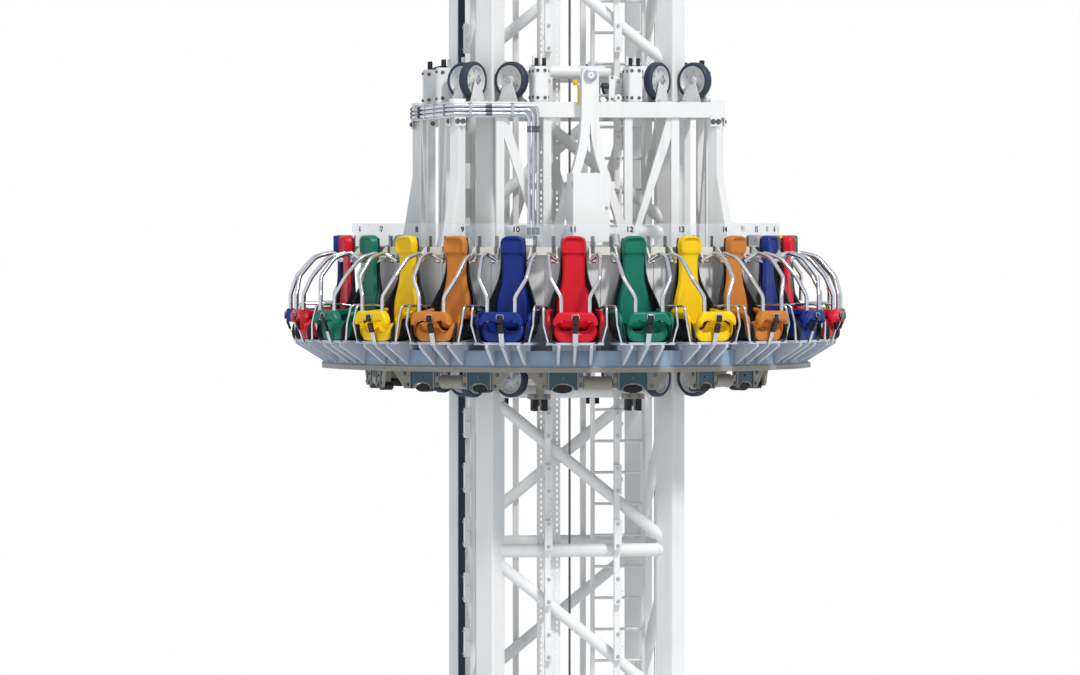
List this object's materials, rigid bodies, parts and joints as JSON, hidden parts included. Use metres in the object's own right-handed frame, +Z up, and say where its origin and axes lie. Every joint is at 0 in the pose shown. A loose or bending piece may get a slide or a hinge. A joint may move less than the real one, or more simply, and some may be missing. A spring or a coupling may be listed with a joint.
{
  "type": "drop tower ride",
  "caption": "Square lattice mast with a carriage that slides up and down it on guide wheels, carrying a ring of outward-facing seats with swing-down lap restraints.",
  "frame": {"origin": "on the mast's axis at ground level", "axes": "+Z up the mast, -Y out of the front face, +X to the right seen from the front"},
  "size_m": [5.3366, 5.3366, 9.45],
  "materials": {
    "mast_paint": "satin white paint",
    "tray_paint": "satin white paint",
    "conductor_plastic": "dull black plastic",
    "rope_steel": "greased dark steel wire rope",
    "carriage_paint": "satin white paint",
    "galvanised_steel": "galvanised steel",
    "tread_rubber": "dark polyurethane tread",
    "disc_paint": "light grey paint",
    "ring_paint": "blue-grey paint",
    "wall_paint": "light grey paint",
    "rim_paint": "cream paint",
    "clear_sheet": "clear sheet",
    "shell_plastic": "grained black plastic",
    "cushion_red": "red foam skin",
    "cushion_green": "green foam skin",
    "cushion_yellow": "yellow foam skin",
    "cushion_orange": "orange foam skin",
    "cushion_blue": "blue foam skin",
    "chrome_tube": "polished steel tube",
    "belt_webbing": "black webbing",
    "bracket_paint": "grey paint",
    "cabinet_paint": "white powder coat"
  },
  "bodies": {
    "mast": {"mast_columns": "mast_paint", "lattice_front": "mast_paint", "lattice_right": "mast_paint", "lattice_rear": "mast_paint", "lattice_left": "mast_paint", "guide_rails": "mast_paint", "cable_tray": "tray_paint", "conductor_rail": "conductor_plastic", "access_ladder": "mast_paint", "hoist_rope": "rope_steel", "rope_beams": "mast_paint"},
    "carriage": {"top_frame": "carriage_paint", "bottom_frame": "carriage_paint", "corner_legs": "carriage_paint", "side_frames": "carriage_paint", "hangers": "carriage_paint", "wheel_brackets": "galvanised_steel", "wheel_tyres": "tread_rubber", "wheel_discs": "disc_paint", "guide_shoes": "carriage_paint", "seat_ring": "ring_paint", "outriggers": "ring_paint", "seat_wall": "wall_paint", "seat_rim": "rim_paint", "number_screen": "clear_sheet", "seat_shells": "shell_plastic", "cushions_red": "cushion_red", "cushions_green": "cushion_green", "cushions_yellow": "cushion_yellow", "cushions_orange": "cushion_orange", "cushions_blue": "cushion_blue", "armrest_hoops": "chrome_tube", "seat_belts": "belt_webbing", "seat_brackets": "bracket_paint", "control_cabinet": "cabinet_paint", "conduits": "galvanised_steel"},
    "lap_bar_01": {"restraint_01": "chrome_tube"},
    "lap_bar_02": {"restraint_02": "chrome_tube"},
    "lap_bar_03": {"restraint_03": "chrome_tube"},
    "lap_bar_04": {"restraint_04": "chrome_tube"},
    "lap_bar_05": {"restraint_05": "chrome_tube"},
    "lap_bar_06": {"restraint_06": "chrome_tube"},
    "lap_bar_07": {"restraint_07": "chrome_tube"},
    "lap_bar_08": {"restraint_08": "chrome_tube"},
    "lap_bar_09": {"restraint_09": "chrome_tube"},
    "lap_bar_10": {"restraint_10": "chrome_tube"},
    "lap_bar_11": {"restraint_11": "chrome_tube"},
    "lap_bar_12": {"restraint_12": "chrome_tube"},
    "lap_bar_13": {"restraint_13": "chrome_tube"},
    "lap_bar_14": {"restraint_14": "chrome_tube"},
    "lap_bar_15": {"restraint_15": "chrome_tube"},
    "lap_bar_16": {"restraint_16": "chrome_tube"},
    "lap_bar_17": {"restraint_17": "chrome_tube"},
    "lap_bar_18": {"restraint_18": "chrome_tube"},
    "lap_bar_19": {"restraint_19": "chrome_tube"},
    "lap_bar_20": {"restraint_20": "chrome_tube"},
    "lap_bar_21": {"restraint_21": "chrome_tube"},
    "lap_bar_22": {"restraint_22": "chrome_tube"},
    "lap_bar_23": {"restraint_23": "chrome_tube"},
    "lap_bar_24": {"restraint_24": "chrome_tube"}
  },
  "joints": [
    {"name": "carriage_drop", "type": "slide", "parent": "mast", "child": "carriage", "axis": [0, 0, 1], "range_m": [-4.5, 1.3]},
    {"name": "restraint_01_swing", "type": "hinge", "parent": "carriage", "child": "lap_bar_01", "pos_m": [-0.81971, 1.97895, 6.04], "axis": [0.9239, 0.3827, 0], "range_deg": [0, 78]},
    {"name": "restraint_02_swing", "type": "hinge", "parent": "carriage", "child": "lap_bar_02", "pos_m": [-1.30397, 1.69936, 6.04], "axis": [0.7934, 0.6088, 0], "range_deg": [0, 78]},
    {"name": "restraint_03_swing", "type": "hinge", "parent": "carriage", "child": "lap_bar_03", "pos_m": [-1.69936, 1.30397, 6.04], "axis": [0.6088, 0.7934, 0], "range_deg": [0, 78]},
    {"name": "restraint_04_swing", "type": "hinge", "parent": "carriage", "child": "lap_bar_04", "pos_m": [-1.97895, 0.81971, 6.04], "axis": [0.3827, 0.9239, 0], "range_deg": [0, 78]},
    {"name": "restraint_05_swing", "type": "hinge", "parent": "carriage", "child": "lap_bar_05", "pos_m": [-2.12367, 0.27959, 6.04], "axis": [0.1305, 0.9914, 0], "range_deg": [0, 78]},
    {"name": "restraint_06_swing", "type": "hinge", "parent": "carriage", "child": "lap_bar_06", "pos_m": [-2.12367, -0.27959, 6.04], "axis": [-0.1305, 0.9914, 0], "range_deg": [0, 78]},
    {"name": "restraint_07_swing", "type": "hinge", "parent": "carriage", "child": "lap_bar_07", "pos_m": [-1.97895, -0.81971, 6.04], "axis": [-0.3827, 0.9239, 0], "range_deg": [0, 78]},
    {"name": "restraint_08_swing", "type": "hinge", "parent": "carriage", "child": "lap_bar_08", "pos_m": [-1.69936, -1.30397, 6.04], "axis": [-0.6088, 0.7934, 0], "range_deg": [0, 78]},
    {"name": "restraint_09_swing", "type": "hinge", "parent": "carriage", "child": "lap_bar_09", "pos_m": [-1.30397, -1.69936, 6.04], "axis": [-0.7934, 0.6088, 0], "range_deg": [0, 78]},
    {"name": "restraint_10_swing", "type": "hinge", "parent": "carriage", "child": "lap_bar_10", "pos_m": [-0.81971, -1.97895, 6.04], "axis": [-0.9239, 0.3827, 0], "range_deg": [0, 78]},
    {"name": "restraint_11_swing", "type": "hinge", "parent": "carriage", "child": "lap_bar_11", "pos_m": [-0.27959, -2.12367, 6.04], "axis": [-0.9914, 0.1305, 0], "range_deg": [0, 78]},
    {"name": "restraint_12_swing", "type": "hinge", "parent": "carriage", "child": "lap_bar_12", "pos_m": [0.27959, -2.12367, 6.04], "axis": [-0.9914, -0.1305, 0], "range_deg": [0, 78]},
    {"name": "restraint_13_swing", "type": "hinge", "parent": "carriage", "child": "lap_bar_13", "pos_m": [0.81971, -1.97895, 6.04], "axis": [-0.9239, -0.3827, 0], "range_deg": [0, 78]},
    {"name": "restraint_14_swing", "type": "hinge", "parent": "carriage", "child": "lap_bar_14", "pos_m": [1.30397, -1.69936, 6.04], "axis": [-0.7934, -0.6088, 0], "range_deg": [0, 78]},
    {"name": "restraint_15_swing", "type": "hinge", "parent": "carriage", "child": "lap_bar_15", "pos_m": [1.69936, -1.30397, 6.04], "axis": [-0.6088, -0.7934, 0], "range_deg": [0, 78]},
    {"name": "restraint_16_swing", "type": "hinge", "parent": "carriage", "child": "lap_bar_16", "pos_m": [1.97895, -0.81971, 6.04], "axis": [-0.3827, -0.9239, 0], "range_deg": [0, 78]},
    {"name": "restraint_17_swing", "type": "hinge", "parent": "carriage", "child": "lap_bar_17", "pos_m": [2.12367, -0.27959, 6.04], "axis": [-0.1305, -0.9914, 0], "range_deg": [0, 78]},
    {"name": "restraint_18_swing", "type": "hinge", "parent": "carriage", "child": "lap_bar_18", "pos_m": [2.12367, 0.27959, 6.04], "axis": [0.1305, -0.9914, 0], "range_deg": [0, 78]},
    {"name": "restraint_19_swing", "type": "hinge", "parent": "carriage", "child": "lap_bar_19", "pos_m": [1.97895, 0.81971, 6.04], "axis": [0.3827, -0.9239, 0], "range_deg": [0, 78]},
    {"name": "restraint_20_swing", "type": "hinge", "parent": "carriage", "child": "lap_bar_20", "pos_m": [1.69936, 1.30397, 6.04], "axis": [0.6088, -0.7934, 0], "range_deg": [0, 78]},
    {"name": "restraint_21_swing", "type": "hinge", "parent": "carriage", "child": "lap_bar_21", "pos_m": [1.30397, 1.69936, 6.04], "axis": [0.7934, -0.6088, 0], "range_deg": [0, 78]},
    {"name": "restraint_22_swing", "type": "hinge", "parent": "carriage", "child": "lap_bar_22", "pos_m": [0.81971, 1.97895, 6.04], "axis": [0.9239, -0.3827, 0], "range_deg": [0, 78]},
    {"name": "restraint_23_swing", "type": "hinge", "parent": "carriage", "child": "lap_bar_23", "pos_m": [0.27959, 2.12367, 6.04], "axis": [0.9914, -0.1305, 0], "range_deg": [0, 78]},
    {"name": "restraint_24_swing", "type": "hinge", "parent": "carriage", "child": "lap_bar_24", "pos_m": [-0.27959, 2.12367, 6.04], "axis": [0.9914, 0.1305, 0], "range_deg": [0, 78]}
  ]
}
